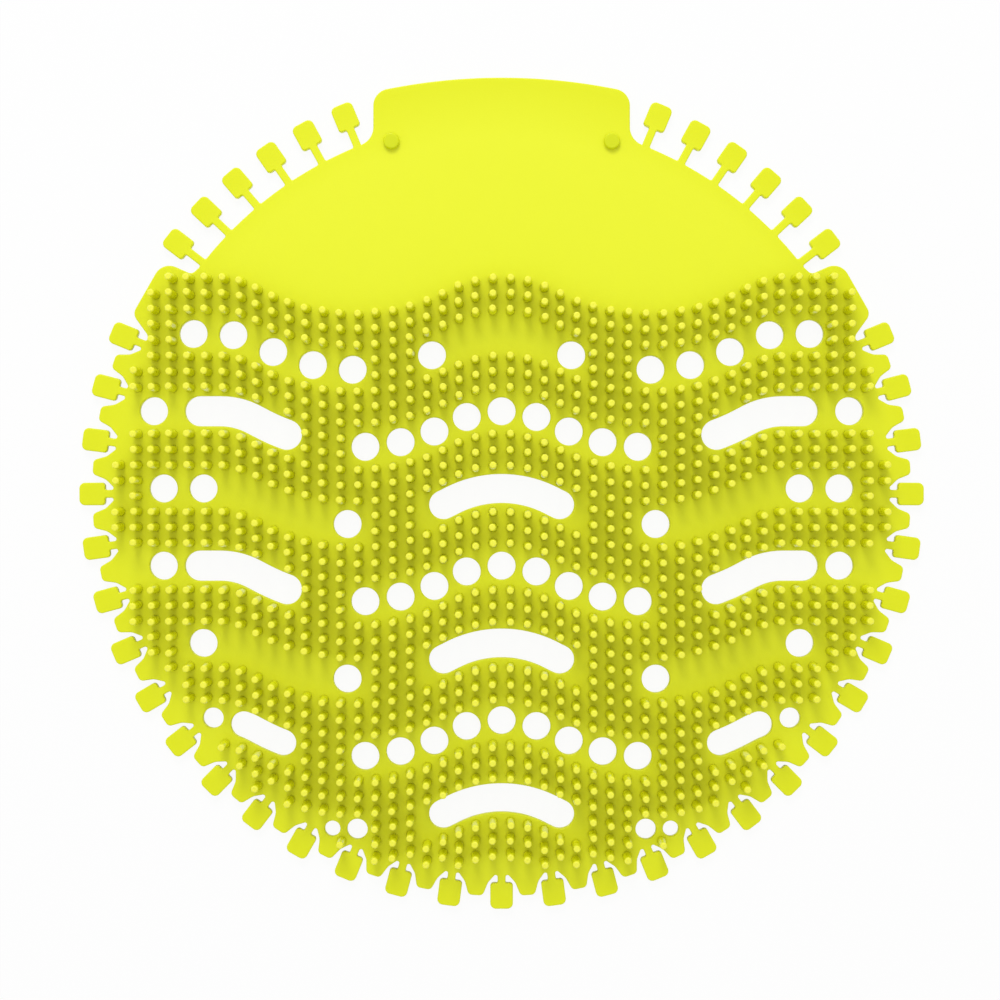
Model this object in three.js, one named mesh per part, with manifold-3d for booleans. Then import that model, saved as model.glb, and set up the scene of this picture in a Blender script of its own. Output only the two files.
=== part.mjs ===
// Deodorizer screen for a urinal: one flexible mat, moulded in a single shot.
// A thin flat sheet with drain holes, a field of bristles on top, a lifting flap at one
// end and a fringe of small tear-off date tabs, 31 for days and 12 for months.
// Millimetres. +X to the right, +Y towards the flap, +Z up through the bristles, z = 0 underneath.

import * as THREE from 'three';
import { mergeVertices } from 'three/addons/utils/BufferGeometryUtils.js';
import Module from 'manifold-3d';

const wasm = await Module();
wasm.setup();

// Sheet
const sheetThickness = 2;

// Date tabs: a square head on a narrow stem
const tabRingHalfWidth = 92.2;
const tabRingHalfLength = 91.2;
const plainEdgeInset = 7.4;
const headLength = 5.6;
const headWidth = 5.1;
const headShoulder = 1.1;
const stemWidth = 1.8;
const dayTabs = 31;
const dayTabStep = 7.38;
const dayTabStretch = 0.0071;
const monthTabsEachSide = 6;
const monthTabStep = 5.98;
const firstMonthTab = 22.7;

// Scalloped rim: a tooth between every two day tabs, and a broad ear above the last one
const notchDepth = 5.4;
const toothShoulderHalfWidth = 1.9;
const toothShoulderDrop = 1.1;
const earAngle = 60.4;
const earHalfWidth = 5.9;
const earShoulderDrop = 1.2;
const earFootHalfWidth = 7.6;
const earFootRise = 1.2;

// Lifting flap and the two pegs on it
const flapHalfWidth = 28.9;
const flapReach = 93.1;
const flapCrownRadius = 131;
const flapCornerRadius = 3.8;
const flapFilletRadius = 4.3;
const pegRadius = 1.8;
const pegHeight = 1.2;
const pegHalfSpacing = 24.8;
const pegFromCentre = 78.7;

// Undulating rows: crest on the axis, a trough each side, then level out to the rim
const crestRadius = 24.4;
const troughRadius = 46;
const shoulderRadius = 16;
const slopeAngle = 27.7;

// Bristles stand in bands of three rows, with two rows left out for a band of drain holes
const bristleHeight = 7;
const bristleFootRadius = 1.2;
const bristleEdgeMargin = 0.05;
const columnPitch = 3.931;
const rowPitch = 3.483;
const firstRow = 47.6;
const rowCount = 39;
const rowsInBand = 3;
const rowsLeftOut = 2;
const columnsKept = 3;
const firstFlankColumn = 5;
const firstTroughColumn = 9;
const rimColumnsFrom = 79.9;
const bristleFieldRadius = 86.9;

// Drain holes and slots. An inset is the distance inwards from the ring of tab heads.
const holeRadius = 3.15;
const smallHoleRadius = 2.3;
const tinyHoleRadius = 1.75;
const centreHolePitch = 8;
const centreHolesEachSide = 4;
const sideHolePitch = 8.96;
const sideHolesInRow = 5;
const sideRowInset = 22.8;
const flankHoleX = 15.7;
const troughHoleX = 34.7;
const outerHoleInset = 13.9;
const rimHoleInset = 16.1;
const smallHoleInset = 9.2;
const smallHoleAngle = 51.8;
const lowerHoleInset = 8.6;
const lowerHoleAngle = 23.1;
const tinyHoleInset = 6.4;
const tinyHoleAngle = 26.6;
const centreSlotHalfLength = 13.1;
const centreSlotHalfWidth = 3.25;
const sideSlotInset = 24.3;
const sideSlotLength = 19.5;
const sideSlotHalfWidth = 3.4;
const shortSlotFromHole = 6.9;
const shortSlotLength = 8.8;
const shortSlotHalfWidth = 2.95;

// Bands of holes that each kind of hole or slot lies in, counted from the flap downwards
const topBand = 0;
const holeRunBands = [1, 3, 5];
const troughHoleBands = [2, 4];
const centreSlotBands = [2, 4, 6];
const sideSlotBands = [1, 3];
const shortSlotBand = 5;
const loneHoles = [
  { inset: outerHoleInset, band: 1 },
  { inset: rimHoleInset, band: 2 },
  { inset: rimHoleInset + sideHolePitch, band: 2 },
  { inset: rimHoleInset, band: 3 },
  { inset: rimHoleInset + sideHolePitch, band: 4 },
];

// Facets. Each bristle is turned a little further than the one before it, so that the
// corners of a row's feet never line up.
const holeSides = 6;
const pegSides = 6;
const bristleSides = 3;
const bristleTurn = 0.618;
const flapArcSteps = 2;
const slotEndSteps = 3;
const centreSlotStations = 4;
const sideSlotStations = 3;
const shortSlotStations = 2;
const halvings = 50;

const radians = THREE.MathUtils.degToRad;
const mirrored = (points) => points.map(([x, y]) => [-x, y]).reverse();

// The tabs reach further below the ring's centre than the flap does above it, so that centre
// lies a little above the middle of the mat.
const centreY = (tabRingHalfLength + headLength / 2 - flapReach) / 2;

// Radius of the oval ring of tab heads at an angle from straight down, which grows towards +X.
function ringRadius(angle) {
  return 1 / Math.hypot(Math.sin(angle) / tabRingHalfWidth, Math.cos(angle) / tabRingHalfLength);
}

// A point of the rim, set off outwards and sideways from the ring of tab heads.
function rimPoint(angle, side, outwards) {
  const radius = ringRadius(angle) + outwards;
  const x = radius * Math.sin(angle) + side * Math.cos(angle);
  const y = -radius * Math.cos(angle) + side * Math.sin(angle);
  return [x, y];
}

// A tab, from the foot of its stem round its head and back.
function tabOutline(angle, footDrop) {
  const side = [
    [stemWidth / 2, -footDrop],
    [stemWidth / 2, -headLength / 2],
    [headWidth / 2, headShoulder - headLength / 2],
    [headWidth / 2, headLength / 2],
  ];
  const rising = side.map(([across, outwards]) => rimPoint(angle, -across, outwards));
  const falling = side.map(([across, outwards]) => rimPoint(angle, across, outwards)).reverse();
  return [...rising, ...falling];
}

function toothOutline(angle) {
  return [
    rimPoint(angle, -toothShoulderHalfWidth, -toothShoulderDrop),
    rimPoint(angle, 0, 0),
    rimPoint(angle, toothShoulderHalfWidth, -toothShoulderDrop),
  ];
}

function earOutline(angle) {
  return [
    rimPoint(angle, -earFootHalfWidth, earFootRise - notchDepth),
    rimPoint(angle, -earHalfWidth, -earShoulderDrop),
    rimPoint(angle, -earHalfWidth + earShoulderDrop, 0),
    rimPoint(angle, earHalfWidth - earShoulderDrop, 0),
    rimPoint(angle, earHalfWidth, -earShoulderDrop),
    rimPoint(angle, earFootHalfWidth, earFootRise - notchDepth),
  ];
}

function arcPoints(x, y, radius, from, to, steps) {
  const points = [];
  for (let i = 0; i <= steps; i += 1) {
    const angle = from + ((to - from) * i) / steps;
    points.push([x + radius * Math.cos(angle), y + radius * Math.sin(angle)]);
  }
  return points;
}

// Right half of the flap, from the body's edge up to the middle of its crown.
function flapHalf() {
  const bodyRadius = ringRadius(Math.PI - radians(firstMonthTab)) - plainEdgeInset;
  const filletX = flapHalfWidth + flapFilletRadius;
  const filletY = Math.sqrt((bodyRadius + flapFilletRadius) ** 2 - filletX ** 2);
  const footAngle = Math.atan2(-filletY, -filletX);
  const crownCentreY = flapReach - flapCrownRadius;
  const cornerX = flapHalfWidth - flapCornerRadius;
  const cornerY = crownCentreY + Math.sqrt((flapCrownRadius - flapCornerRadius) ** 2 - cornerX ** 2);
  const crownAngle = Math.atan2(cornerY - crownCentreY, cornerX);
  return [
    ...arcPoints(filletX, filletY, flapFilletRadius, footAngle, -Math.PI, flapArcSteps),
    ...arcPoints(cornerX, cornerY, flapCornerRadius, 0, crownAngle, flapArcSteps),
    ...arcPoints(0, crownCentreY, flapCrownRadius, crownAngle, Math.PI / 2, flapArcSteps).slice(1),
  ];
}

// The whole edge of the mat, anticlockwise from the middle of its lowest tab.
function matOutline() {
  const half = [];
  const lastDay = (dayTabs - 1) / 2;
  const dayAngle = (k) => radians(dayTabStep * k + dayTabStretch * k * k);
  const bottomTab = tabOutline(0, notchDepth);
  half.push(...bottomTab.slice(bottomTab.length / 2));
  for (let k = 1; k <= lastDay; k += 1) {
    half.push(...toothOutline((dayAngle(k - 1) + dayAngle(k)) / 2));
    half.push(...tabOutline(dayAngle(k), notchDepth));
  }
  half.push(...earOutline(Math.PI - radians(earAngle)));
  for (let n = monthTabsEachSide - 1; n >= 0; n -= 1) {
    half.push(...tabOutline(Math.PI - radians(firstMonthTab + n * monthTabStep), plainEdgeInset));
  }
  half.push(...flapHalf());
  const left = mirrored(half);
  return [...half, ...left.slice(1)].map(([x, y]) => [x, y + centreY]);
}

// The line that every row, hole and slot follows, by its length from the crest on the axis.
function waveAt(length) {
  const slope = radians(slopeAngle);
  const flank = ((crestRadius - shoulderRadius) * (1 - Math.cos(slope))) / Math.sin(slope);
  const stretches = [
    { radius: crestRadius, turn: slope },
    { radius: troughRadius, turn: -2 * slope },
    { line: flank },
    { radius: shoulderRadius, turn: slope },
    { line: Infinity },
  ];
  let x = 0;
  let drop = 0;
  let heading = 0;
  let left = Math.abs(length);
  for (const { radius, turn, line } of stretches) {
    const stretchLength = line ?? radius * Math.abs(turn);
    const run = Math.min(left, stretchLength);
    if (line === undefined) {
      const bend = Math.sign(turn) * radius;
      const next = heading + run / bend;
      x += bend * (Math.sin(next) - Math.sin(heading));
      drop += bend * (Math.cos(heading) - Math.cos(next));
      heading = next;
    } else {
      x += run * Math.cos(heading);
      drop += run * Math.sin(heading);
    }
    left -= run;
    if (left <= 0) {
      break;
    }
  }
  const side = Math.sign(length) || 1;
  return { x: side * x, drop, heading: side * heading };
}

// Length along that line at a distance from the axis, found by halving.
function waveLengthAt(x) {
  let low = 0;
  let high = 2 * Math.abs(x) + 1;
  for (let i = 0; i < halvings; i += 1) {
    const middle = (low + high) / 2;
    if (waveAt(middle).x < Math.abs(x)) {
      low = middle;
    } else {
      high = middle;
    }
  }
  return Math.sign(x) * low;
}

const bandRows = rowsInBand + rowsLeftOut;
const rowY = (row) => centreY + firstRow - row * rowPitch;
const holeBandY = (band) => rowY(rowsInBand + (rowsLeftOut - 1) / 2 + band * bandRows);

// Round holes: runs of nine over the crest, rows of five at the sides, pairs on the flanks,
// in the troughs and beside the rim, and small ones that keep their distance from the rim.
function roundHoles() {
  const holes = [];
  const pair = (x, y, radius) => {
    holes.push({ x, y, radius });
    holes.push({ x: -x, y, radius });
  };
  const alongRow = (x, band) => pair(x, holeBandY(band) - waveAt(waveLengthAt(x)).drop, holeRadius);
  const alongRim = (angle, inset, radius) => {
    const [x, y] = rimPoint(radians(angle), 0, -inset);
    pair(x, y + centreY, radius);
  };
  for (const band of holeRunBands) {
    holes.push({ x: 0, y: holeBandY(band), radius: holeRadius });
    for (let i = 1; i <= centreHolesEachSide; i += 1) {
      alongRow(waveAt(i * centreHolePitch).x, band);
    }
  }
  for (let i = 0; i < sideHolesInRow; i += 1) {
    alongRow(tabRingHalfWidth - sideRowInset - i * sideHolePitch, topBand);
  }
  alongRow(flankHoleX, topBand);
  troughHoleBands.forEach((band) => alongRow(troughHoleX, band));
  loneHoles.forEach(({ inset, band }) => alongRow(tabRingHalfWidth - inset, band));
  alongRim(smallHoleAngle, smallHoleInset, smallHoleRadius);
  alongRim(lowerHoleAngle, lowerHoleInset, smallHoleRadius);
  alongRim(tinyHoleAngle, tinyHoleInset, tinyHoleRadius);
  return holes;
}

// A slot with round ends that follows the rows between two distances from the axis.
function slotOutline(band, from, to, halfWidth, stations) {
  const start = waveLengthAt(from);
  const end = waveLengthAt(to);
  const upper = [];
  const lower = [];
  for (let i = 0; i < stations; i += 1) {
    const { x, drop, heading } = waveAt(start + ((end - start) * i) / (stations - 1));
    const y = holeBandY(band) - drop;
    const across = [halfWidth * Math.sin(heading), halfWidth * Math.cos(heading)];
    upper.push([x + across[0], y + across[1]]);
    lower.push([x - across[0], y - across[1]]);
  }
  const cap = (length, side) => {
    const { x, drop, heading } = waveAt(length);
    const facing = side > 0 ? -heading : Math.PI - heading;
    const y = holeBandY(band) - drop;
    const around = arcPoints(x, y, halfWidth, facing - Math.PI / 2, facing + Math.PI / 2, slotEndSteps);
    return around.slice(1, -1);
  };
  return [...lower, ...cap(end, 1), ...upper.reverse(), ...cap(start, -1)];
}

function slotOutlines() {
  const reach = centreSlotHalfLength;
  const centre = centreSlotBands.map((band) =>
    slotOutline(band, -reach, reach, centreSlotHalfWidth, centreSlotStations));
  const sideEnd = tabRingHalfWidth - sideSlotInset;
  const side = sideSlotBands.map((band) =>
    slotOutline(band, sideEnd - sideSlotLength, sideEnd, sideSlotHalfWidth, sideSlotStations));
  const shortEnd = rimPoint(radians(smallHoleAngle), 0, -smallHoleInset)[0] - shortSlotFromHole;
  const shortStart = shortEnd - shortSlotLength;
  const short = slotOutline(shortSlotBand, shortStart, shortEnd, shortSlotHalfWidth, shortSlotStations);
  const right = [...side, short];
  return [...centre, ...right, ...right.map(mirrored)];
}

function distanceToLoop(loop, x, y) {
  let nearest = Infinity;
  for (let i = 0; i < loop.length; i += 1) {
    const [ax, ay] = loop[i];
    const [bx, by] = loop[(i + 1) % loop.length];
    const lengthSquared = (bx - ax) ** 2 + (by - ay) ** 2;
    const along = ((x - ax) * (bx - ax) + (y - ay) * (by - ay)) / lengthSquared;
    const t = THREE.MathUtils.clamp(along, 0, 1);
    nearest = Math.min(nearest, Math.hypot(x - ax - t * (bx - ax), y - ay - t * (by - ay)));
  }
  return nearest;
}

function insideLoop(loop, x, y) {
  let inside = false;
  for (let i = 0; i < loop.length; i += 1) {
    const [ax, ay] = loop[i];
    const [bx, by] = loop[(i + 1) % loop.length];
    if (ay > y !== by > y && x < ax + ((y - ay) * (bx - ax)) / (by - ay)) {
      inside = !inside;
    }
  }
  return inside;
}

// Where a bristle stands. In the bands of holes only three columns go on through,
// by turns over the flank and over the trough, and the last columns beside the rim.
function bristleFeet(outline, cuts) {
  const feet = [];
  const clear = bristleFootRadius + bristleEdgeMargin;
  const columns = Math.ceil(tabRingHalfWidth / columnPitch);
  for (let row = 0; row < rowCount; row += 1) {
    const band = Math.floor(row / bandRows);
    const inHoleBand = row % bandRows >= rowsInBand;
    const firstKept = band % 2 === 0 ? firstFlankColumn : firstTroughColumn;
    for (let column = -columns; column < columns; column += 1) {
      const { x, drop } = waveAt((column + 0.5) * columnPitch);
      const y = rowY(row) - drop;
      const fromAxis = column < 0 ? -column - 1 : column;
      const kept = fromAxis >= firstKept && fromAxis < firstKept + columnsKept;
      const fromCentre = Math.hypot(x, y - centreY);
      const besideRim = band % 2 === 0 && fromCentre > rimColumnsFrom;
      const beyondField = fromCentre > bristleFieldRadius && band > 0;
      if (beyondField || (inHoleBand && !kept && !besideRim)) {
        continue;
      }
      if (!insideLoop(outline, x, y) || distanceToLoop(outline, x, y) < clear) {
        continue;
      }
      if (cuts.every((cut) => !insideLoop(cut, x, y) && distanceToLoop(cut, x, y) >= clear)) {
        feet.push([x, y]);
      }
    }
  }
  return feet;
}

function ringOf(x, y, radius, sides, turn = 0.5) {
  const points = [];
  for (let i = 0; i < sides; i += 1) {
    const angle = ((i + turn) / sides) * 2 * Math.PI;
    points.push([x + radius * Math.cos(angle), y + radius * Math.sin(angle)]);
  }
  return points;
}

const raised = (z) => ([x, y]) => [x, y, z];

// A flat face with holes in it, looking up.
function faceTriangles(contour, holes, z) {
  const flat = (points) => points.map(([x, y]) => new THREE.Vector2(x, y));
  const corners = [...contour, ...holes.flat()].map(raised(z));
  const faces = THREE.ShapeUtils.triangulateShape(flat(contour), holes.map(flat));
  return faces.map((face) => face.map((corner) => corners[corner]));
}

// The wall under an edge: looking outwards round an anticlockwise loop.
function wallTriangles(loop, low, high) {
  return loop.flatMap((point, i) => {
    const next = loop[(i + 1) % loop.length];
    const [a, b, c, d] = [raised(low)(point), raised(low)(next), raised(high)(next), raised(high)(point)];
    return [[a, b, c], [a, c, d]];
  });
}

function spikeTriangles(foot, tip) {
  return foot.map((point, i) => {
    const next = foot[(i + 1) % foot.length];
    return [raised(sheetThickness)(point), raised(sheetThickness)(next), tip];
  });
}

function solidOf(triangles) {
  const geometry = new THREE.BufferGeometry();
  geometry.setAttribute('position', new THREE.Float32BufferAttribute(triangles.flat(2), 3));
  const merged = mergeVertices(geometry);
  const vertProperties = merged.attributes.position.array;
  const triVerts = new Uint32Array(merged.index.array);
  return new wasm.Manifold(new wasm.Mesh({ numProp: 3, vertProperties, triVerts }));
}

function geometryOf(solid) {
  const mesh = solid.getMesh();
  const geometry = new THREE.BufferGeometry();
  geometry.setAttribute('position', new THREE.BufferAttribute(mesh.vertProperties, 3));
  geometry.setIndex(new THREE.BufferAttribute(mesh.triVerts, 1));
  geometry.computeVertexNormals();
  return geometry;
}

// The sheet and every bristle on it as one skin: each bristle grows out of a hole in the top face.
function bristledSheet() {
  const outline = matOutline();
  const holes = roundHoles().map(({ x, y, radius }) => ringOf(x, y, radius, holeSides));
  const cuts = [...holes, ...slotOutlines()];
  const feet = bristleFeet(outline, cuts);
  const footRings = feet.map(([x, y], i) => ringOf(x, y, bristleFootRadius, bristleSides, i * bristleTurn));
  const tipHeight = sheetThickness + bristleHeight;
  const under = faceTriangles(outline, cuts, 0).map((triangle) => triangle.reverse());
  return solidOf([
    ...under,
    ...faceTriangles(outline, [...cuts, ...footRings], sheetThickness),
    ...wallTriangles(outline, 0, sheetThickness),
    ...cuts.flatMap((cut) => wallTriangles([...cut].reverse(), 0, sheetThickness)),
    ...feet.flatMap(([x, y], i) => spikeTriangles(footRings[i], [x, y, tipHeight])),
  ]);
}

// A low round peg, rooted halfway down in the flap's sheet.
function peg(x) {
  const root = sheetThickness / 2;
  const top = sheetThickness + pegHeight;
  const ring = ringOf(x, centreY + pegFromCentre, pegRadius, pegSides);
  const base = faceTriangles(ring, [], root).map((triangle) => triangle.reverse());
  return solidOf([...base, ...wallTriangles(ring, root, top), ...faceTriangles(ring, [], top)]);
}

const mat = bristledSheet().add(peg(-pegHalfSpacing)).add(peg(pegHalfSpacing));

const limeRubber = new THREE.MeshStandardMaterial({ color: 0xdfe830, roughness: 0.55, metalness: 0 });
const screen = new THREE.Mesh(geometryOf(mat), limeRubber);
screen.name = 'deodorizer_mat';

const part = new THREE.Group();
part.add(screen);

export default part;
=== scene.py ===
"""A urinal deodorizer screen: one soft lime mat, moulded in a single shot, lying bristles up.

The sheet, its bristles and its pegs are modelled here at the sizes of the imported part.
Lengths are in metres and angles in degrees, unless a line says otherwise.
+Y points to the lifting flap and +Z up through the bristles.
"""

import math
import random

import bmesh
import bpy
from mathutils import Matrix, Vector


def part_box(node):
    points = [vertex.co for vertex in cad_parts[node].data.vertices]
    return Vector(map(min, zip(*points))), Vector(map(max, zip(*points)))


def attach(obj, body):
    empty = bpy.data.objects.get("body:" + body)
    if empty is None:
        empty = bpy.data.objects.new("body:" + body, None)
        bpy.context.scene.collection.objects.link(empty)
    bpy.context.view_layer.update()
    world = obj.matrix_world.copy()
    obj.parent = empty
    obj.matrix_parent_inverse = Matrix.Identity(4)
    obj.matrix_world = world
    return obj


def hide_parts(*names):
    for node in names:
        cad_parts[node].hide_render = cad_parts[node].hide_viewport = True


MM = 0.001

# Sheet and its softened edge. A rounded corner turns by CORNER_STEP at a time and takes no more
# than CORNER_SHARE of a side. MITRE_LIMIT keeps the rounded edge narrow at a sharp corner.
SHEET_THICKNESS = 2.0 * MM
EDGE_ROUND = 0.28 * MM
EDGE_STEPS = 3
MITRE_LIMIT = 0.5
CORNER_STEP = math.radians(14)
CORNER_SHARE = 0.48

# Date tabs on an oval ring of heads. The plain edge between two month tabs has a point at each of
# PLAIN_EDGE_STATIONS, as shares of the way.
RING_HALF_WIDTH = 92.2 * MM
RING_HALF_LENGTH = 91.2 * MM
HEAD_LENGTH = 5.8 * MM
HEAD_WIDTH = 5.1 * MM
HEAD_ROUND = 1.3 * MM
NECK_ROUND = 0.3 * MM
STEM_WIDTH = 1.8 * MM
STEM_FOOT_ROUND = 0.45 * MM
LAST_DAY_TAB = 15
DAY_TAB_STEP = 7.38
DAY_TAB_STRETCH = 0.0071
MONTH_TABS = 6
MONTH_TAB_STEP = 5.98
FIRST_MONTH_TAB = 22.7
PLAIN_EDGE_INSET = 7.2 * MM
PLAIN_EDGE_STATIONS = (0.3, 0.5, 0.7)

# Teeth between the day tabs, and an ear above the last one
NOTCH_DEPTH = 5.4 * MM
TOOTH_WAIST_HALF_WIDTH = 2.6 * MM
TOOTH_WAIST_DROP = 3.0 * MM
TOOTH_WAIST_ROUND = 2.5 * MM
TOOTH_TIP_HALF_WIDTH = 1.6 * MM
TOOTH_TIP_ROUND = 1.15 * MM
EAR_ANGLE = 60.4
EAR_LOWER_WIDTH = 6.4 * MM
EAR_LOWER_ROUND = 2.2 * MM
EAR_UPPER_WIDTH = 7.3 * MM
EAR_UPPER_ROUND = 3.6 * MM
EAR_LOWER_FOOT = 8.9 * MM
EAR_UPPER_FOOT = 8.0 * MM
EAR_FOOT_ROUND = 1.4 * MM

# Lifting flap and its pegs. The profile's steps are in millimetres.
FLAP_HALF_WIDTH = 28.9 * MM
FLAP_REACH = 93.1 * MM
FLAP_CROWN_RADIUS = 131 * MM
FLAP_CORNER_RADIUS = 3.8 * MM
FLAP_FILLET_RADIUS = 4.3 * MM
FLAP_FILLET_STEPS = 10
FLAP_CORNER_STEPS = 12
FLAP_CROWN_STEPS = 14
PEG_RADIUS = 1.8 * MM
PEG_SIDES = 32
PEG_PROFILE = ((0, 0), (0, 0.9), (-0.09, 1.11), (-0.3, 1.2))
PEG_HALF_SPACING = 24.8 * MM
PEG_FROM_CENTRE = 78.7 * MM

# The undulating line of rows, holes and slots. The rows repeat after BAND_ROWS, and the middle of
# each stretch without bristles lies BAND_MIDDLE rows below the first of its three rows.
CREST_RADIUS = 24.4 * MM
TROUGH_RADIUS = 46 * MM
SHOULDER_RADIUS = 16 * MM
SLOPE = math.radians(27.7)
ROW_PITCH = 3.483 * MM
FIRST_ROW = 47.6 * MM
BAND_ROWS = 5
BAND_MIDDLE = 3.5
HALVINGS = 50

# Drain holes and slots, and the bands without bristles that they lie in, counted down from 0
HOLE_SIDES = 36
CENTRE_HOLE_BANDS = (1, 3, 5)
CENTRE_SLOT_BANDS = (2, 4, 6)
SIDE_SLOT_BANDS = (1, 3)
SHORT_SLOT_BAND = 5
SIDE_ROW_BAND = 0
TROUGH_HOLE_BANDS = (2, 4)
OUTER_HOLE_BAND = 1
RIM_HOLE_BANDS = (2, 3)
INNER_HOLE_BANDS = (2, 4)
HOLE_RADIUS = 3.15 * MM
SMALL_HOLE_RADIUS = 2.3 * MM
TINY_HOLE_RADIUS = 1.75 * MM
CENTRE_HOLE_PITCH = 8 * MM
CENTRE_HOLES_EACH_SIDE = 4
SIDE_HOLE_PITCH = 8.96 * MM
SIDE_HOLES_IN_ROW = 5
SIDE_ROW_INSET = 22.8 * MM
FLANK_HOLE_X = 15.7 * MM
TROUGH_HOLE_X = 34.7 * MM
OUTER_HOLE_INSET = 13.9 * MM
RIM_HOLE_INSET = 16.1 * MM
# Lone holes near the rim, each by its angle from straight down and its inset from the ring
SMALL_HOLE = (51.8, 9.2 * MM)
LOWER_HOLE = (23.1, 8.6 * MM)
TINY_HOLE = (26.6, 6.4 * MM)
CENTRE_SLOT_HALF_LENGTH = 13.1 * MM
CENTRE_SLOT_HALF_WIDTH = 3.25 * MM
SIDE_SLOT_INSET = 24.3 * MM
SIDE_SLOT_LENGTH = 19.5 * MM
SIDE_SLOT_HALF_WIDTH = 3.4 * MM
SHORT_SLOT_FROM_HOLE = 6.9 * MM
SHORT_SLOT_LENGTH = 8.8 * MM
SHORT_SLOT_HALF_WIDTH = 2.95 * MM
SLOT_STEP = 1.2 * MM
SLOT_END_STEPS = 14

# Bristles. The profile's steps are outwards from the foot and up from the root, in millimetres.
# A bristle leans at most 0.13 mm each way in its 7 mm. Its feet are found from the tips of the
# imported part, which are the points within TIP_BAND of the top.
BRISTLE_SIDES = 8
BRISTLE_RADIUS = 1.1 * MM
BRISTLE_ROOT = 0.1 * MM
BRISTLE_PROFILE = ((0, 0), (-0.1, 0.6), (-0.25, 6.5), (-0.32, 6.9), (-0.48, 7.09), (-0.66, 7.1))
BRISTLE_DIMPLE = 0.16 * MM
BRISTLE_LEAN = 0.13 / 7
BRISTLE_SEED = 31
TIP_BAND = 0.1 * MM

# Places of the bristles' and the pegs' finish in the mat's list, after the sheet's at 0
BRISTLE_FINISH = 1
PEG_FINISH = 2

# Floor and light. The floor's glow is what the camera and the gloss see of it.
FLOOR_HALF_SIDE = 30
FLOOR_GREY = 0.9
FLOOR_GLOW = 0.92
WORLD_LIGHT = 0.72
LAMP_SIZE = 0.4
LAMP_POWER = 2.8
LAMP_PLACE = Vector((-0.1, 0.62, 0.6))

# The camera looks straight down. Its axis meets the mat a little left of and below the middle.
AXIS_X = -0.36 * MM
AXIS_Y = -1.58 * MM
CAMERA_DISTANCE = 467 * MM
VIEW_WIDTH = 225.1 * MM
CAMERA_CLIP = 10 * MM
SENSOR_WIDTH = 36

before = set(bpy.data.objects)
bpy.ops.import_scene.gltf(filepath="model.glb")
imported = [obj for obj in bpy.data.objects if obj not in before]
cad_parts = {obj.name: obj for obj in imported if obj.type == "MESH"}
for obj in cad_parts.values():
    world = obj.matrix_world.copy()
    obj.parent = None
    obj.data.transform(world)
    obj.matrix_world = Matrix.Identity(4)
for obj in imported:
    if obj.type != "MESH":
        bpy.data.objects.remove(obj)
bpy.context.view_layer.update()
mat_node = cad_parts["deodorizer_mat"]
# The middle of the ring of heads, by its distance from the flap's crown
centre_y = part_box("deodorizer_mat")[1][1] - FLAP_REACH


def mesh_object(name, bm):
    """Turns a bmesh into an object at the origin, with its faces pointing out."""
    bmesh.ops.recalc_face_normals(bm, faces=bm.faces)
    mesh = bpy.data.meshes.new(name)
    bm.to_mesh(mesh)
    bm.free()
    piece = bpy.data.objects.new(name, mesh)
    bpy.context.collection.objects.link(piece)
    return piece


# Outline

def ring_radius(angle):
    """Distance from the middle of the mat to the oval ring of tab heads."""
    return 1 / math.hypot(math.sin(angle) / RING_HALF_WIDTH, math.cos(angle) / RING_HALF_LENGTH)


def rim_point(angle, side, outwards):
    """A point off the ring of tab heads, at an angle from straight down that grows towards +X."""
    radius = ring_radius(angle) + outwards
    x = radius * math.sin(angle) + side * math.cos(angle)
    y = -radius * math.cos(angle) + side * math.sin(angle)
    return x, y


def both_sides(angle, side):
    """Corners of a feature that is the same on both sides of its own radius."""
    before = [(*rim_point(angle, -across, outwards), round_) for across, outwards, round_ in side]
    after = [(*rim_point(angle, across, outwards), round_) for across, outwards, round_ in side]
    return before + after[::-1]


def tab(angle, foot_drop):
    return both_sides(angle, [
        (STEM_WIDTH / 2, -foot_drop, STEM_FOOT_ROUND),
        (STEM_WIDTH / 2, -HEAD_LENGTH / 2, NECK_ROUND),
        (HEAD_WIDTH / 2, -HEAD_LENGTH / 2, HEAD_ROUND),
        (HEAD_WIDTH / 2, HEAD_LENGTH / 2, HEAD_ROUND),
    ])


def tooth(angle):
    return both_sides(angle, [
        (TOOTH_WAIST_HALF_WIDTH, -TOOTH_WAIST_DROP, TOOTH_WAIST_ROUND),
        (TOOTH_TIP_HALF_WIDTH, 0, TOOTH_TIP_ROUND),
    ])


def ear(angle):
    corners = [
        (-EAR_LOWER_FOOT, -NOTCH_DEPTH, EAR_FOOT_ROUND),
        (-EAR_LOWER_WIDTH, 0, EAR_LOWER_ROUND),
        (EAR_UPPER_WIDTH, 0, EAR_UPPER_ROUND),
        (EAR_UPPER_FOOT, -PLAIN_EDGE_INSET, EAR_FOOT_ROUND),
    ]
    return [(*rim_point(angle, side, outwards), round_) for side, outwards, round_ in corners]


def arc(x, y, radius, start, end, steps):
    angles = [start + (end - start) * i / steps for i in range(steps + 1)]
    return [(x + radius * math.cos(a), y + radius * math.sin(a), 0) for a in angles]


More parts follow.
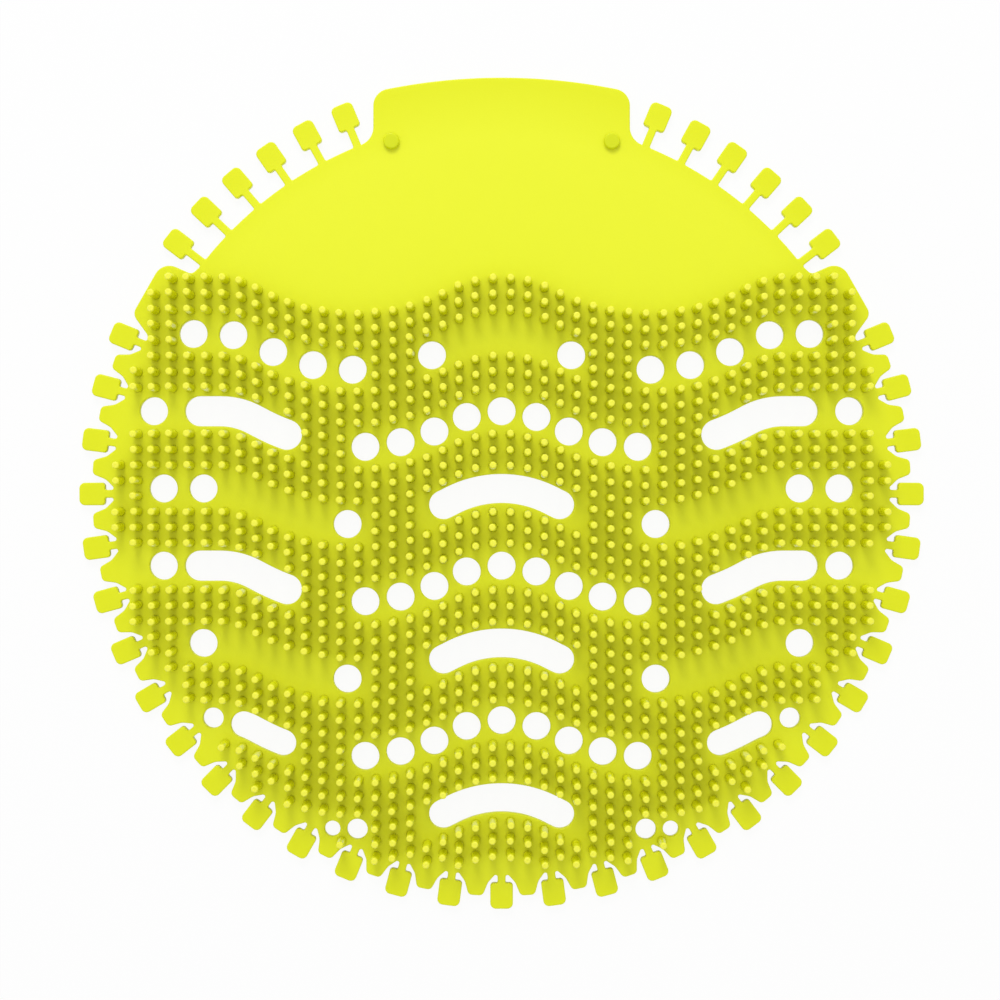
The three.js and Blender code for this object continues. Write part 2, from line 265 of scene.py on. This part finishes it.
def flap_half():
    """The right half of the flap, from the plain edge up to the middle of its crown."""
    body_radius = ring_radius(math.pi - math.radians(FIRST_MONTH_TAB)) - PLAIN_EDGE_INSET
    fillet_x = FLAP_HALF_WIDTH + FLAP_FILLET_RADIUS
    fillet_y = math.sqrt((body_radius + FLAP_FILLET_RADIUS) ** 2 - fillet_x ** 2)
    foot_angle = math.atan2(-fillet_y, -fillet_x)
    crown_y = FLAP_REACH - FLAP_CROWN_RADIUS
    corner_x = FLAP_HALF_WIDTH - FLAP_CORNER_RADIUS
    corner_y = crown_y + math.sqrt((FLAP_CROWN_RADIUS - FLAP_CORNER_RADIUS) ** 2 - corner_x ** 2)
    crown_angle = math.atan2(corner_y - crown_y, corner_x)
    fillet = arc(fillet_x, fillet_y, FLAP_FILLET_RADIUS, foot_angle, -math.pi, FLAP_FILLET_STEPS)
    corner = arc(corner_x, corner_y, FLAP_CORNER_RADIUS, 0, crown_angle, FLAP_CORNER_STEPS)
    crown = arc(0, crown_y, FLAP_CROWN_RADIUS, crown_angle, math.pi / 2, FLAP_CROWN_STEPS)
    return fillet + corner + crown[1:]


def day_angle(number):
    return math.radians(DAY_TAB_STEP * number + DAY_TAB_STRETCH * number ** 2)


def month_angle(number):
    return math.pi - math.radians(FIRST_MONTH_TAB + number * MONTH_TAB_STEP)


def outline_corners():
    """Corners of the mat's whole edge, anticlockwise, each with the radius it is rounded to."""
    first = tab(0, NOTCH_DEPTH)
    half = first[len(first) // 2:]
    for k in range(1, LAST_DAY_TAB + 1):
        half += tooth((day_angle(k - 1) + day_angle(k)) / 2)
        half += tab(day_angle(k), NOTCH_DEPTH)
    half += ear(math.pi - math.radians(EAR_ANGLE))
    for n in reversed(range(MONTH_TABS)):
        half += tab(month_angle(n), PLAIN_EDGE_INSET)
        if n > 0:
            for share in PLAIN_EDGE_STATIONS:
                between = month_angle(n) + share * (month_angle(n - 1) - month_angle(n))
                half.append((*rim_point(between, 0, -PLAIN_EDGE_INSET), 0))
    half += flap_half()
    mirrored = [(-x, y, round_) for x, y, round_ in reversed(half)]
    return half + mirrored[1:]


def rounded(corners):
    """Replaces each corner by an arc that touches both of its sides."""
    points = []
    for i, (x, y, radius) in enumerate(corners):
        here = Vector((x, y))
        if radius == 0:
            points.append(here)
            continue
        to_last = Vector(corners[i - 1][:2]) - here
        to_next = Vector(corners[(i + 1) % len(corners)][:2]) - here
        opening = to_last.angle(to_next)
        longest = CORNER_SHARE * min(to_last.length, to_next.length)
        reach = min(radius / math.tan(opening / 2), longest)
        radius = reach * math.tan(opening / 2)
        start = here + reach * to_last.normalized()
        end = here + reach * to_next.normalized()
        inwards = (to_last.normalized() + to_next.normalized()).normalized()
        middle = here + inwards * math.hypot(reach, radius)
        turn = math.pi - opening
        steps = max(2, math.ceil(turn / CORNER_STEP))
        spoke = start - middle
        sense = 1 if spoke.cross(end - middle) > 0 else -1
        for j in range(steps + 1):
            points.append(middle + Matrix.Rotation(sense * turn * j / steps, 2) @ spoke)
    return points


# Holes and slots on the undulating line

def wave_at(length):
    """Distance from the axis, drop and heading at a length along the line from its crest."""
    flank = (CREST_RADIUS - SHOULDER_RADIUS) * (1 - math.cos(SLOPE)) / math.sin(SLOPE)
    stretches = (
        (CREST_RADIUS, SLOPE * CREST_RADIUS),
        (-TROUGH_RADIUS, 2 * SLOPE * TROUGH_RADIUS),
        (math.inf, flank),
        (SHOULDER_RADIUS, SLOPE * SHOULDER_RADIUS),
        (math.inf, math.inf),
    )
    x = drop = heading = 0.0
    left = abs(length)
    for bend, stretch in stretches:
        run = min(left, stretch)
        if bend == math.inf:
            x += run * math.cos(heading)
            drop += run * math.sin(heading)
        else:
            turned = heading + run / bend
            x += bend * (math.sin(turned) - math.sin(heading))
            drop += bend * (math.cos(heading) - math.cos(turned))
            heading = turned
        left -= run
        if left <= 0:
            break
    side = -1 if length < 0 else 1
    return side * x, drop, side * heading


def wave_length_at(x):
    """The length along the line from its crest to a distance from the axis, by halving."""
    low, high = 0.0, 2 * abs(x) + MM
    for _ in range(HALVINGS):
        middle = (low + high) / 2
        if wave_at(middle)[0] < abs(x):
            low = middle
        else:
            high = middle
    return math.copysign(low, x)


def band_y(band):
    """The height of a band's middle line on the axis."""
    return centre_y + FIRST_ROW - (BAND_MIDDLE + band * BAND_ROWS) * ROW_PITCH


def round_holes():
    """Every round hole, by its middle and radius."""
    holes = []

    def along_row(x, band):
        y = band_y(band) - wave_at(wave_length_at(x))[1]
        holes.extend([(x, y, HOLE_RADIUS), (-x, y, HOLE_RADIUS)])

    def along_rim(place, radius):
        x, y = rim_point(math.radians(place[0]), 0, -place[1])
        holes.extend([(x, y + centre_y, radius), (-x, y + centre_y, radius)])

    for band in CENTRE_HOLE_BANDS:
        holes.append((0, band_y(band), HOLE_RADIUS))
        for i in range(1, CENTRE_HOLES_EACH_SIDE + 1):
            along_row(wave_at(i * CENTRE_HOLE_PITCH)[0], band)
    for i in range(SIDE_HOLES_IN_ROW):
        along_row(RING_HALF_WIDTH - SIDE_ROW_INSET - i * SIDE_HOLE_PITCH, SIDE_ROW_BAND)
    along_row(FLANK_HOLE_X, SIDE_ROW_BAND)
    for band in TROUGH_HOLE_BANDS:
        along_row(TROUGH_HOLE_X, band)
    along_row(RING_HALF_WIDTH - OUTER_HOLE_INSET, OUTER_HOLE_BAND)
    rim_hole_x = RING_HALF_WIDTH - RIM_HOLE_INSET
    for band in RIM_HOLE_BANDS:
        along_row(rim_hole_x, band)
    for band in INNER_HOLE_BANDS:
        along_row(rim_hole_x - SIDE_HOLE_PITCH, band)
    along_rim(SMALL_HOLE, SMALL_HOLE_RADIUS)
    along_rim(LOWER_HOLE, SMALL_HOLE_RADIUS)
    along_rim(TINY_HOLE, TINY_HOLE_RADIUS)
    return holes


def slot(band, start_x, end_x, half_width):
    """A slot with round ends that follows the rows, anticlockwise."""
    start, end = wave_length_at(start_x), wave_length_at(end_x)
    steps = math.ceil((end - start) / SLOT_STEP)
    upper, lower = [], []
    for i in range(steps + 1):
        x, drop, heading = wave_at(start + (end - start) * i / steps)
        here = Vector((x, band_y(band) - drop))
        across = Vector((math.sin(heading), math.cos(heading))) * half_width
        upper.append(here + across)
        lower.append(here - across)

    def cap(length, facing):
        x, drop, heading = wave_at(length)
        start_angle = facing - heading - math.pi / 2
        y = band_y(band) - drop
        swept = arc(x, y, half_width, start_angle, start_angle + math.pi, SLOT_END_STEPS)
        return [Vector(point[:2]) for point in swept[1:-1]]

    return lower + cap(end, 0) + upper[::-1] + cap(start, math.pi)


def slots():
    """Outlines of the slots on the axis, and of those at the sides with their mirror images."""
    cuts = [
        slot(band, -CENTRE_SLOT_HALF_LENGTH, CENTRE_SLOT_HALF_LENGTH, CENTRE_SLOT_HALF_WIDTH)
        for band in CENTRE_SLOT_BANDS
    ]
    side_end = RING_HALF_WIDTH - SIDE_SLOT_INSET
    short_end = rim_point(math.radians(SMALL_HOLE[0]), 0, -SMALL_HOLE[1])[0] - SHORT_SLOT_FROM_HOLE
    side_start = side_end - SIDE_SLOT_LENGTH
    short_start = short_end - SHORT_SLOT_LENGTH
    right = [slot(band, side_start, side_end, SIDE_SLOT_HALF_WIDTH) for band in SIDE_SLOT_BANDS]
    right.append(slot(SHORT_SLOT_BAND, short_start, short_end, SHORT_SLOT_HALF_WIDTH))
    left = [[Vector((-p.x, p.y)) for p in reversed(loop)] for loop in right]
    return cuts + right + left


# The moulded skin

def edge_loop(bm, points):
    """A closed loop of edges at the lower face, and the way out of the sheet at each vertex."""
    verts = [bm.verts.new((p.x, p.y, 0)) for p in points]
    edges = [bm.edges.new((v, verts[(i + 1) % len(verts)])) for i, v in enumerate(verts)]
    outwards = {}
    for i, vert in enumerate(verts):
        before = (vert.co - verts[i - 1].co).normalized()
        after = (verts[(i + 1) % len(verts)].co - vert.co).normalized()
        along = (before + after).normalized()
        outwards[vert] = Vector((along.y, -along.x, 0)) / max(along.dot(after), MITRE_LIMIT)
    return edges, outwards


def raise_edges(bm, edges, outwards, profile, lean=None):
    """Extrudes loops up through a profile of steps outwards and heights. Returns the top edges."""
    lean = lean or {}
    plan = {vert: vert.co.copy() for vert in outwards}
    for vert, place in plan.items():
        vert.co = place + outwards[vert] * profile[0][0]
    for offset, height in profile[1:]:
        made = bmesh.ops.extrude_edge_only(bm, edges=edges)["geom"]
        fresh = {v for v in made if isinstance(v, bmesh.types.BMVert)}
        edges = [e for e in made if isinstance(e, bmesh.types.BMEdge) and fresh.issuperset(e.verts)]
        above_of = {}
        for vert in plan:
            reached = [edge.other_vert(vert) for edge in vert.link_edges]
            above_of[vert] = next(other for other in reached if other in fresh)
        for vert, above in above_of.items():
            tilt = lean.get(vert, Vector((0, 0, 0))) * height
            above.co = plan[vert] + outwards[vert] * offset + Vector((0, 0, height)) + tilt
        plan = {above: plan[vert] for vert, above in above_of.items()}
        outwards = {above: outwards[vert] for vert, above in above_of.items()}
        lean = {above: lean[vert] for vert, above in above_of.items() if vert in lean}
    return edges


def wall_profile():
    """Round the soft lower edge, up the wall and round the upper edge."""
    quarter = [math.pi / 2 * i / EDGE_STEPS for i in range(EDGE_STEPS + 1)]
    lower = [(-EDGE_ROUND * (1 - math.sin(a)), EDGE_ROUND * (1 - math.cos(a))) for a in quarter]
    return lower + [(offset, SHEET_THICKNESS - height) for offset, height in reversed(lower)]


def circle(bm, x, y, height, radius, sides, turn=0):
    """A circle of edges, with the way out at each vertex."""
    centre = Vector((x, y, height))
    place = Matrix.Translation(centre) @ Matrix.Rotation(turn, 4, "Z")
    made = bmesh.ops.create_circle(bm, cap_ends=False, segments=sides, radius=radius, matrix=place)
    outwards = {vert: (vert.co - centre).normalized() for vert in made["verts"]}
    edges = dict.fromkeys(edge for vert in made["verts"] for edge in vert.link_edges)
    return list(edges), outwards


def in_metres(profile):
    return [(offset * MM, height * MM) for offset, height in profile]


def make_sheet():
    """The sheet with its holes, slots, fringe and pegs, as one closed skin."""
    bm = bmesh.new()
    loops = [[p + Vector((0, centre_y)) for p in rounded(outline_corners())]]
    loops += [loop[::-1] for loop in slots()]
    for x, y, radius in round_holes():
        ring = arc(x, y, radius, 0, -2 * math.pi, HOLE_SIDES)
        loops.append([Vector(point[:2]) for point in ring[:-1]])
    lower, outwards = [], {}
    for points in loops:
        edges, ways = edge_loop(bm, points)
        lower += edges
        outwards.update(ways)
    upper = raise_edges(bm, lower, outwards, wall_profile())
    peg_tops = []
    for x in (-PEG_HALF_SPACING, PEG_HALF_SPACING):
        edges, ways = circle(bm, x, centre_y + PEG_FROM_CENTRE, SHEET_THICKNESS, PEG_RADIUS, PEG_SIDES)
        upper += edges
        peg_tops += raise_edges(bm, edges, ways, in_metres(PEG_PROFILE))
    for face in bm.faces:
        face.smooth = True
        if max(vert.co.z for vert in face.verts) > SHEET_THICKNESS + EDGE_ROUND:
            face.material_index = PEG_FINISH
    for face in bmesh.ops.edgeloop_fill(bm, edges=peg_tops)["faces"]:
        face.material_index = PEG_FINISH
    bmesh.ops.triangle_fill(bm, use_beauty=True, use_dissolve=False, edges=lower)
    bmesh.ops.triangle_fill(bm, use_beauty=True, use_dissolve=False, edges=upper)
    return bm


def bristle_feet():
    """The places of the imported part's bristles, by the points of its spikes."""
    tip_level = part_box("deodorizer_mat")[1][2] - TIP_BAND
    tips = {(round(v.co.x, 6), round(v.co.y, 6)) for v in mat_node.data.vertices if v.co.z > tip_level}
    return sorted(tips)


def make_bristles():
    """Every bristle, rooted a little way into the sheet: slim taper, soft shoulder, dimpled tip."""
    bm = bmesh.new()
    chance = random.Random(BRISTLE_SEED)
    foot_level = SHEET_THICKNESS - BRISTLE_ROOT
    edges, outwards, lean = [], {}, {}
    for x, y in bristle_feet():
        turn = chance.uniform(0, math.tau)
        tilt = Vector((chance.uniform(-1, 1), chance.uniform(-1, 1), 0)) * BRISTLE_LEAN
        foot, ways = circle(bm, x, y, foot_level, BRISTLE_RADIUS, BRISTLE_SIDES, turn)
        edges += foot
        outwards.update(ways)
        lean.update(dict.fromkeys(ways, tilt))
    bmesh.ops.edgeloop_fill(bm, edges=edges)
    tops = raise_edges(bm, edges, outwards, in_metres(BRISTLE_PROFILE), lean)
    tips = bmesh.ops.edgeloop_fill(bm, edges=tops)["faces"]
    centres = bmesh.ops.poke(bm, faces=tips)["verts"]
    bmesh.ops.translate(bm, vec=(0, 0, -BRISTLE_DIMPLE), verts=centres)
    for face in bm.faces:
        face.smooth = True
        face.material_index = BRISTLE_FINISH
    return bm


def make_mat():
    """The sheet and its bristles as one piece."""
    whole = bmesh.new()
    for bm in (make_sheet(), make_bristles()):
        mesh = bpy.data.meshes.new("skin")
        bm.to_mesh(mesh)
        bm.free()
        whole.from_mesh(mesh)
        bpy.data.meshes.remove(mesh)
    return mesh_object("moulded_mat", whole)


# Materials

def linear(red, green, blue):
    """A colour as seen on screen, 0 to 255, in the renderer's linear values."""
    values = [v / 255 for v in (red, green, blue)]
    return (*[v / 12.92 if v <= 0.04045 else ((v + 0.055) / 1.055) ** 2.4 for v in values], 1)


LIME = linear(240, 247, 38)
# Painted shade: the rim of tabs is painted a deeper yellow, the same all round
RIM_SHADE_YELLOW = linear(232, 238, 4)
# Painted shade: the olive that places sheltered by the bristles are painted
SHADE_OLIVE = linear(224, 225, 0)
# Partly painted light: the bristle tips are painted lighter where light falls on them, and partly for
# the thinner plastic there
LIT_TIP_YELLOW = linear(252, 251, 78)
PEG_YELLOW = linear(215, 226, 0)

# Where the colour turns, with painted shade and light: outwards to the rim, painted a deeper yellow as
# shade; up to the tips, painted lighter, partly as light on them and partly for the thinner plastic
# there; and by the openness of the surface, painted olive as shade between the bristles
RIM_SHADE_FADE = (80 * MM, 92 * MM)
RIM_SHADE_SHARE = 0.85
TIP_LIGHT_FADE = (8.0 * MM, 8.8 * MM)
PAINTED_SHADE_FADE = (0.22, 0.88)
PAINTED_SHADE_REACH = 20 * MM
PAINTED_SHADE_SAMPLES = 6

# Mottled gloss and fine grain. A noise's scale is its number of grains to the metre.
MOTTLE_SCALE = 900
MOTTLE_DETAIL = 2
MOTTLE_RANGE = (0.3, 0.7)
MOTTLE_DEPTH = 0.06
GRAIN_SCALE = 2600
GRAIN_DETAIL = 3
GRAIN_HEIGHT = 0.02 * MM

# Soft plastic that lets a little light in, less of it blue
PLASTIC_IOR = 1.4
GLOW_SHARE = 0.25
GLOW_REACH = 0.6 * MM
GLOW_COLOUR = (1.0, 0.95, 0.15)


def lime_group():
    """Colour, roughness and height of the soft lime plastic, from the place on the mat, with painted
    shade towards the rim and in sheltered places, and painted light in part on the bristle tips.
    """
    group = bpy.data.node_groups.new("lime_plastic", "ShaderNodeTree")
    for name, kind, way in (
        ("Open", "NodeSocketFloat", "INPUT"),
        ("Lime", "NodeSocketColor", "INPUT"),
        ("Rim Shade", "NodeSocketColor", "INPUT"),
        ("Shade Olive", "NodeSocketColor", "INPUT"),
        ("Lit Tip", "NodeSocketColor", "INPUT"),
        ("Mean Roughness", "NodeSocketFloat", "INPUT"),
        ("Colour", "NodeSocketColor", "OUTPUT"),
        ("Roughness", "NodeSocketFloat", "OUTPUT"),
        ("Height", "NodeSocketFloat", "OUTPUT"),
    ):
        group.interface.new_socket(name, in_out=way, socket_type=kind)
    nodes, links = group.nodes, group.links
    given = nodes.new("NodeGroupInput")
    out = nodes.new("NodeGroupOutput")
    place = nodes.new("ShaderNodeTexCoord")

    # A Mix node's colour sockets share their names with its other kinds, so they go by number
    first_colour, second_colour, mixed_colour = 6, 7, 2

    def noise(scale, detail):
        node = nodes.new("ShaderNodeTexNoise")
        node.inputs["Scale"].default_value = scale
        node.inputs["Detail"].default_value = detail
        links.new(place.outputs["Object"], node.inputs["Vector"])
        return node.outputs["Fac"]

    def spread(value, span, to_low, to_high):
        node = nodes.new("ShaderNodeMapRange")
        node.inputs["From Min"].default_value = span[0]
        node.inputs["From Max"].default_value = span[1]
        node.inputs["To Min"].default_value = to_low
        node.inputs["To Max"].default_value = to_high
        links.new(value, node.inputs["Value"])
        return node.outputs["Result"]

    def mix(factor, first, second):
        node = nodes.new("ShaderNodeMix")
        node.data_type = "RGBA"
        links.new(factor, node.inputs["Factor"])
        links.new(first, node.inputs[first_colour])
        links.new(second, node.inputs[second_colour])
        return node.outputs[mixed_colour]

    def sum_of(first, second):
        node = nodes.new("ShaderNodeMath")
        links.new(first, node.inputs[0])
        links.new(second, node.inputs[1])
        return node.outputs["Value"]

    split = nodes.new("ShaderNodeSeparateXYZ")
    links.new(place.outputs["Object"], split.inputs["Vector"])
    flat = nodes.new("ShaderNodeCombineXYZ")
    links.new(split.outputs["X"], flat.inputs["X"])
    links.new(split.outputs["Y"], flat.inputs["Y"])
    length = nodes.new("ShaderNodeVectorMath")
    length.operation = "LENGTH"
    links.new(flat.outputs["Vector"], length.inputs[0])

    # Painted shade: the colour deepens to a darker yellow towards the rim of tabs
    rim_shade_mask = spread(length.outputs["Value"], RIM_SHADE_FADE, 0, RIM_SHADE_SHARE)
    # Painted shade: the more the bristles close a place in, the more olive it is painted
    painted_shade_mask = spread(given.outputs["Open"], PAINTED_SHADE_FADE, 1, 0)
    # Partly painted light: the colour turns lighter up the bristles to their tips, partly for light on
    # them and partly for the thinner plastic
    tip_light_mask = spread(split.outputs["Z"], TIP_LIGHT_FADE, 0, 1)
    colour = mix(rim_shade_mask, given.outputs["Lime"], given.outputs["Rim Shade"])
    colour = mix(painted_shade_mask, colour, given.outputs["Shade Olive"])
    colour = mix(tip_light_mask, colour, given.outputs["Lit Tip"])
    links.new(colour, out.inputs["Colour"])
    mottle = spread(noise(MOTTLE_SCALE, MOTTLE_DETAIL), MOTTLE_RANGE, -MOTTLE_DEPTH, MOTTLE_DEPTH)
    links.new(sum_of(given.outputs["Mean Roughness"], mottle), out.inputs["Roughness"])
    links.new(noise(GRAIN_SCALE, GRAIN_DETAIL), out.inputs["Height"])
    return group


def lime_material(name, group, colour, roughness, grain):
    """Lime plastic of one open colour, with painted shade: deepened to olive where bristles shelter the
    surface from the light.
    """
    material = bpy.data.materials.new(name)
    material.use_nodes = True
    nodes, links = material.node_tree.nodes, material.node_tree.links
    shader = nodes["Principled BSDF"]
    # The occlusion sets where olive shade is painted into the colour
    shelter = nodes.new("ShaderNodeAmbientOcclusion")
    shelter.samples = PAINTED_SHADE_SAMPLES
    shelter.only_local = True
    shelter.inputs["Distance"].default_value = PAINTED_SHADE_REACH
    effect = nodes.new("ShaderNodeGroup")
    effect.node_tree = group
    links.new(shelter.outputs["AO"], effect.inputs["Open"])
    for socket, value in (("Lime", colour), ("Rim Shade", RIM_SHADE_YELLOW), ("Shade Olive", SHADE_OLIVE), ("Lit Tip", LIT_TIP_YELLOW)):
        effect.inputs[socket].default_value = value
    effect.inputs["Mean Roughness"].default_value = roughness
    bump = nodes.new("ShaderNodeBump")
    bump.inputs["Distance"].default_value = GRAIN_HEIGHT
    bump.inputs["Strength"].default_value = grain
    links.new(effect.outputs["Height"], bump.inputs["Height"])
    links.new(bump.outputs["Normal"], shader.inputs["Normal"])
    links.new(effect.outputs["Colour"], shader.inputs["Base Color"])
    links.new(effect.outputs["Roughness"], shader.inputs["Roughness"])
    shader.inputs["IOR"].default_value = PLASTIC_IOR
    shader.inputs["Subsurface Weight"].default_value = GLOW_SHARE
    shader.inputs["Subsurface Radius"].default_value = GLOW_COLOUR
    shader.inputs["Subsurface Scale"].default_value = GLOW_REACH
    return material


# Stage

def make_floor():
    """A white floor that takes the mat's shadow."""
    bm = bmesh.new()
    bmesh.ops.create_grid(bm, x_segments=1, y_segments=1, size=FLOOR_HALF_SIDE)
    floor = mesh_object("floor", bm)
    material = bpy.data.materials.new("floor_white")
    material.use_nodes = True
    nodes, links = material.node_tree.nodes, material.node_tree.links
    nodes.clear()
    out = nodes.new("ShaderNodeOutputMaterial")
    paper = nodes.new("ShaderNodeBsdfDiffuse")
    paper.inputs["Color"].default_value = (FLOOR_GREY, FLOOR_GREY, FLOOR_GREY, 1)
    glow = nodes.new("ShaderNodeEmission")
    seen = nodes.new("ShaderNodeMixShader")
    path = nodes.new("ShaderNodeLightPath")
    straight = nodes.new("ShaderNodeMath")
    straight.operation = "MAXIMUM"
    links.new(path.outputs["Is Camera Ray"], straight.inputs[0])
    links.new(path.outputs["Is Glossy Ray"], straight.inputs[1])
    share = nodes.new("ShaderNodeMath")
    share.operation = "MULTIPLY"
    share.inputs[1].default_value = FLOOR_GLOW
    links.new(straight.outputs["Value"], share.inputs[0])
    links.new(share.outputs["Value"], seen.inputs["Fac"])
    links.new(paper.outputs["BSDF"], seen.inputs[1])
    links.new(glow.outputs["Emission"], seen.inputs[2])
    links.new(seen.outputs["Shader"], out.inputs["Surface"])
    floor.data.materials.append(material)


def make_light():
    """Even light from all round, and a soft lamp beyond the flap."""
    world = bpy.data.worlds.new("studio")
    world.use_nodes = True
    world.node_tree.nodes["Background"].inputs["Color"].default_value = (1, 1, 1, 1)
    world.node_tree.nodes["Background"].inputs["Strength"].default_value = WORLD_LIGHT
    bpy.context.scene.world = world
    lamp = bpy.data.lights.new("soft_lamp", "AREA")
    lamp.shape = "DISK"
    lamp.size = LAMP_SIZE
    lamp.energy = LAMP_POWER
    holder = bpy.data.objects.new("soft_lamp", lamp)
    holder.location = LAMP_PLACE
    holder.rotation_euler = (-LAMP_PLACE).to_track_quat("-Z", "Y").to_euler()
    bpy.context.collection.objects.link(holder)


def make_camera():
    """A camera above the mat, whose picture is VIEW_WIDTH wide at the sheet's upper face."""
    lens = bpy.data.cameras.new("camera")
    lens.sensor_width = SENSOR_WIDTH
    lens.lens = SENSOR_WIDTH * CAMERA_DISTANCE / VIEW_WIDTH
    lens.clip_start = CAMERA_CLIP
    camera = bpy.data.objects.new("camera", lens)
    camera.location = (AXIS_X, AXIS_Y, SHEET_THICKNESS + CAMERA_DISTANCE)
    bpy.context.collection.objects.link(camera)
    bpy.context.scene.camera = camera


lime = lime_group()
mat = make_mat()
mat.data.materials.append(lime_material("lime_sheet", lime, LIME, roughness=0.46, grain=0.5))
mat.data.materials.append(lime_material("lime_bristle", lime, LIME, roughness=0.3, grain=0.12))
mat.data.materials.append(lime_material("lime_peg", lime, PEG_YELLOW, roughness=0.4, grain=0.3))
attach(mat, "root")
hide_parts("deodorizer_mat")

make_floor()
make_light()
make_camera()
bpy.context.scene.view_settings.view_transform = "Standard"

bpy.context.view_layer.update()
